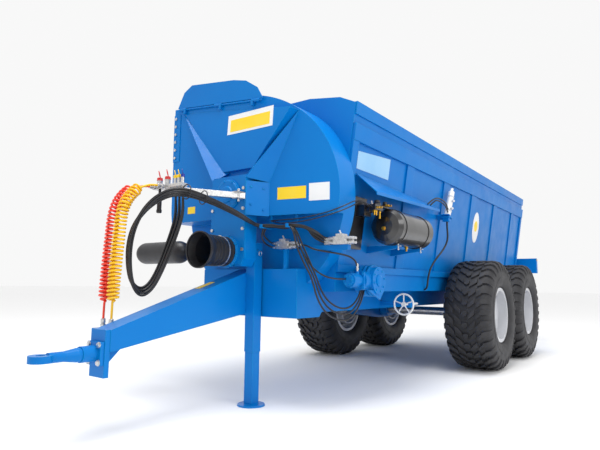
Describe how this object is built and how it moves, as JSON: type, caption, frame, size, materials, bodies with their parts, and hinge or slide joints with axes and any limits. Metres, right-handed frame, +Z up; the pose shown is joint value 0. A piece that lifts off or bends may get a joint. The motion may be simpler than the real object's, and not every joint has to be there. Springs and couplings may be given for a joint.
{
  "type": "towed side-discharge spreader",
  "caption": "Towed tandem-axle side-discharge spreader: long open hopper, front rotor housing with hood and flap, drawbar with ring eye, parking stand and hydraulic hoses.",
  "frame": {"origin": "on the ground, midway between the sides and midway between the towing eye's front and the light bar's rear", "axes": "+X to the machine's left, +Y to the rear, +Z up"},
  "size_m": [2.55, 7.98, 2.7469],
  "materials": {
    "blue_paint": "glossy blue two-coat paint",
    "tyre_rubber": "moulded rubber",
    "rim_silver": "satin silver paint",
    "bare_steel": "zinc plated or ground steel",
    "rotor_steel": "worn plain steel",
    "tank_black": "gloss black paint",
    "black_plastic": "moulded black plastic",
    "cap_plastic": "coloured dust caps",
    "white_paint": "white paint",
    "hose_red": "coiled air line",
    "hose_yellow": "coiled air line",
    "hose_black": "covered hydraulic hose",
    "lamp_red": "lamp lens"
  },
  "bodies": {
    "root": {"air_hose_red": "hose_red", "air_hose_yellow": "hose_yellow", "air_tank": "tank_black", "bogie_hangers": "blue_paint", "brackets": "blue_paint", "bulkhead": "blue_paint", "chassis_frame": "blue_paint", "coupler_caps": "cap_plastic", "discharge_hood": "blue_paint", "document_tube": "black_plastic", "drawbar": "blue_paint", "flap_hinge": "blue_paint", "floor_motor": "blue_paint", "floor_reducer": "blue_paint", "floor_slats": "bare_steel", "gearbox_case": "blue_paint", "gearbox_cover": "blue_paint", "hex_bolts": "bare_steel", "hitch_flange": "blue_paint", "hopper_ribs": "blue_paint", "hopper_shell": "blue_paint", "hose_arm": "bare_steel", "light_bar": "blue_paint", "motor_hose": "hose_black", "oil_hose_1": "hose_black", "oil_hose_2": "hose_black", "oil_hose_3": "hose_black", "pivot_shaft": "bare_steel", "pto_shield": "black_plastic", "rear_lamps": "lamp_red", "rotor_housing": "blue_paint", "side_cover": "blue_paint", "side_rails": "blue_paint", "spool_valves": "bare_steel", "stand_sleeve": "blue_paint", "tank_straps": "tank_black", "valve_panel": "tank_black", "white_reservoir": "white_paint"},
    "hitch_eye": {"hitch_eye": "blue_paint"},
    "stand_leg": {"stand_leg": "blue_paint"},
    "flap": {"discharge_flap": "blue_paint"},
    "rotor": {"rotor": "rotor_steel"},
    "pto": {"pto_stub": "bare_steel"},
    "floor_front": {"floor_shaft": "bare_steel"},
    "floor_rear": {"floor_idler": "bare_steel"},
    "bogie_left": {"bogie_beam_left": "blue_paint"},
    "bogie_right": {"bogie_beam_right": "blue_paint"},
    "brake_wheel": {"handwheel": "white_paint"},
    "wheel_left_front": {"tyre_left_front": "tyre_rubber", "rim_left_front": "rim_silver", "hub_left_front": "rim_silver"},
    "wheel_left_rear": {"tyre_left_rear": "tyre_rubber", "rim_left_rear": "rim_silver", "hub_left_rear": "rim_silver"},
    "wheel_right_front": {"tyre_right_front": "tyre_rubber", "rim_right_front": "rim_silver", "hub_right_front": "rim_silver"},
    "wheel_right_rear": {"tyre_right_rear": "tyre_rubber", "rim_right_rear": "rim_silver", "hub_right_rear": "rim_silver"}
  },
  "joints": [
    {"name": "hitch_swivel", "type": "hinge", "parent": "root", "child": "hitch_eye", "pos_m": [0, -3.925, 0.514], "axis": [0, 1, 0], "continuous": true},
    {"name": "stand_slide", "type": "slide", "parent": "root", "child": "stand_leg", "axis": [0, 0, 1], "range_m": [0, 0.35]},
    {"name": "flap_fold", "type": "hinge", "parent": "root", "child": "flap", "pos_m": [-0.81028, -2.374, 2.543], "axis": [0.9945, 0, -0.1051], "range_deg": [0, 60]},
    {"name": "rotor_spin", "type": "hinge", "parent": "root", "child": "rotor", "pos_m": [0, -2.1, 1.643], "axis": [0, 1, 0], "continuous": true},
    {"name": "pto_spin", "type": "hinge", "parent": "root", "child": "pto", "pos_m": [0, -2.5, 1.19], "axis": [0, 1, 0], "continuous": true},
    {"name": "floor_front_spin", "type": "hinge", "parent": "root", "child": "floor_front", "pos_m": [0, -1.643, 0.978], "axis": [1, 0, 0], "continuous": true},
    {"name": "floor_rear_spin", "type": "hinge", "parent": "root", "child": "floor_rear", "pos_m": [0, 3.493, 0.978], "axis": [1, 0, 0], "continuous": true},
    {"name": "bogie_left_swing", "type": "hinge", "parent": "root", "child": "bogie_left", "pos_m": [0.655, 1.372, 0.6], "axis": [1, 0, 0], "range_deg": [-8, 8]},
    {"name": "bogie_right_swing", "type": "hinge", "parent": "root", "child": "bogie_right", "pos_m": [-0.655, 1.372, 0.6], "axis": [1, 0, 0], "range_deg": [-8, 8]},
    {"name": "handwheel_spin", "type": "hinge", "parent": "root", "child": "brake_wheel", "pos_m": [0.68, -0.62, 0.757], "axis": [0, 1, 0], "continuous": true},
    {"name": "wheel_left_front_spin", "type": "hinge", "parent": "bogie_left", "child": "wheel_left_front", "pos_m": [1.0125, 0.697, 0.622], "axis": [1, 0, 0], "continuous": true},
    {"name": "wheel_left_rear_spin", "type": "hinge", "parent": "bogie_left", "child": "wheel_left_rear", "pos_m": [1.0125, 2.047, 0.622], "axis": [1, 0, 0], "continuous": true},
    {"name": "wheel_right_front_spin", "type": "hinge", "parent": "bogie_right", "child": "wheel_right_front", "pos_m": [-1.0125, 0.697, 0.622], "axis": [1, 0, 0], "continuous": true},
    {"name": "wheel_right_rear_spin", "type": "hinge", "parent": "bogie_right", "child": "wheel_right_rear", "pos_m": [-1.0125, 2.047, 0.622], "axis": [1, 0, 0], "continuous": true}
  ],
  "couplings": [
    {"joint": "pto_spin", "follows": "rotor_spin", "ratio": 1.3},
    {"joint": "floor_rear_spin", "follows": "floor_front_spin", "ratio": 1}
  ]
}
